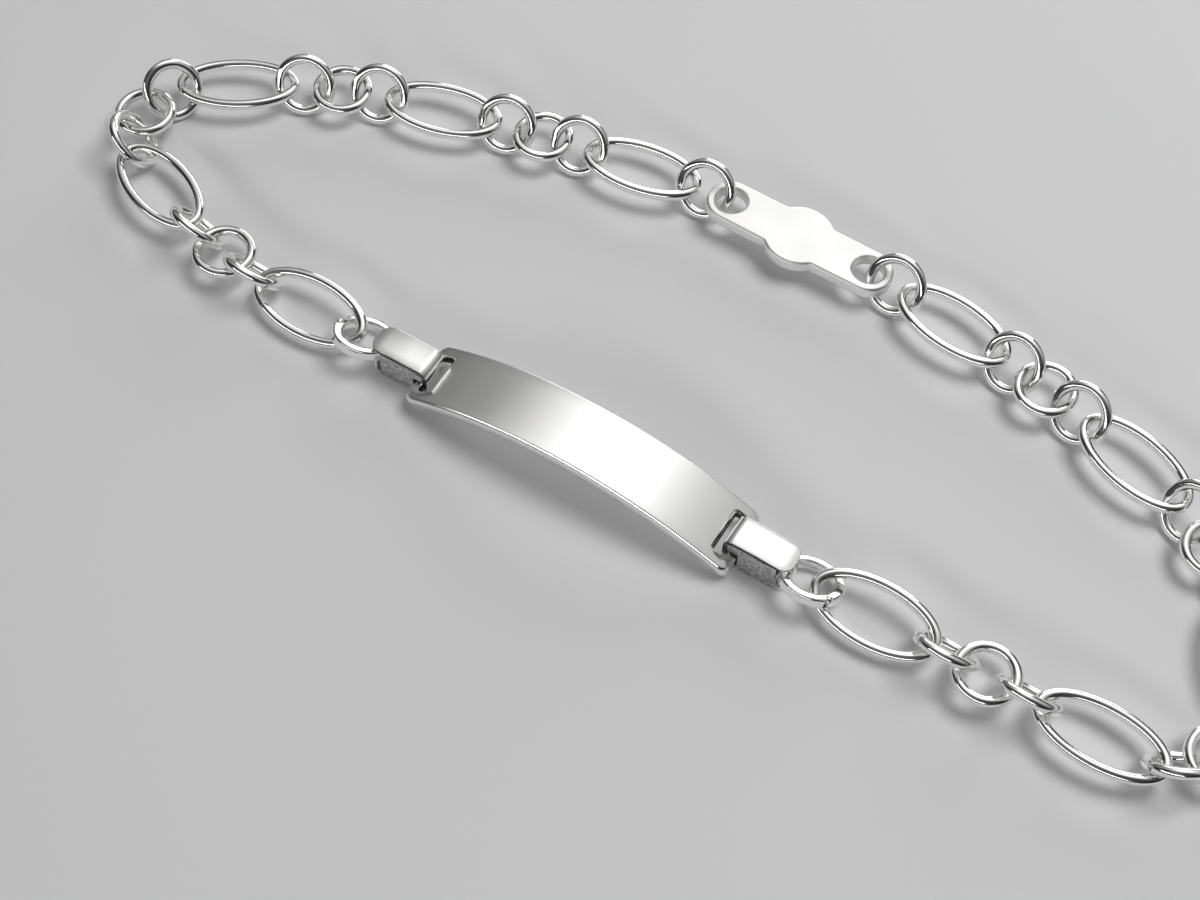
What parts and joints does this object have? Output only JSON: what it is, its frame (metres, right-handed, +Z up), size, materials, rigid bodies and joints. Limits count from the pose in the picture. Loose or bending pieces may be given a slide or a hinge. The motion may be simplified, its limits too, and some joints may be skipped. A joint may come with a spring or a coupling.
{
  "type": "id bracelet",
  "caption": "Curved plain identity plate held by folded bails and jump rings on a chain of long and round links, closed by a plain clasp, lying as a loop.",
  "frame": {"origin": "middle of the loop's box, on the surface it lies on", "axes": "+X along the plate to its right end, +Y from the plate across the loop to the clasp, +Z up"},
  "size_m": [0.098, 0.0306, 0.0046],
  "materials": {
    "plate": "mirror polish with faint hairlines",
    "strap": "polished leaf, duller mottled sides",
    "ring_wire": "polished",
    "link_wire": "polished",
    "clasp": "polished"
  },
  "bodies": {
    "root": {"plate": "plate", "clasp": "clasp", "right_bail": "strap", "left_bail": "strap", "right_jump_ring": "ring_wire", "left_jump_ring": "ring_wire", "right_link_01": "link_wire", "right_link_02": "link_wire", "right_link_03": "link_wire", "right_link_04": "link_wire", "right_link_05": "link_wire", "right_link_06": "link_wire", "right_link_07": "link_wire", "right_link_08": "link_wire", "right_link_09": "link_wire", "right_link_10": "link_wire", "right_link_11": "link_wire", "right_link_12": "link_wire", "right_link_13": "link_wire", "right_link_14": "link_wire", "right_link_15": "link_wire", "right_link_16": "link_wire", "right_link_17": "link_wire", "right_link_18": "link_wire", "left_link_01": "link_wire", "left_link_02": "link_wire", "left_link_03": "link_wire", "left_link_04": "link_wire", "left_link_05": "link_wire", "left_link_06": "link_wire", "left_link_07": "link_wire", "left_link_08": "link_wire", "left_link_09": "link_wire", "left_link_10": "link_wire", "left_link_11": "link_wire", "left_link_12": "link_wire", "left_link_13": "link_wire", "left_link_14": "link_wire", "left_link_15": "link_wire", "left_link_16": "link_wire", "left_link_17": "link_wire", "left_link_18": "link_wire"}
  },
  "joints": []
}
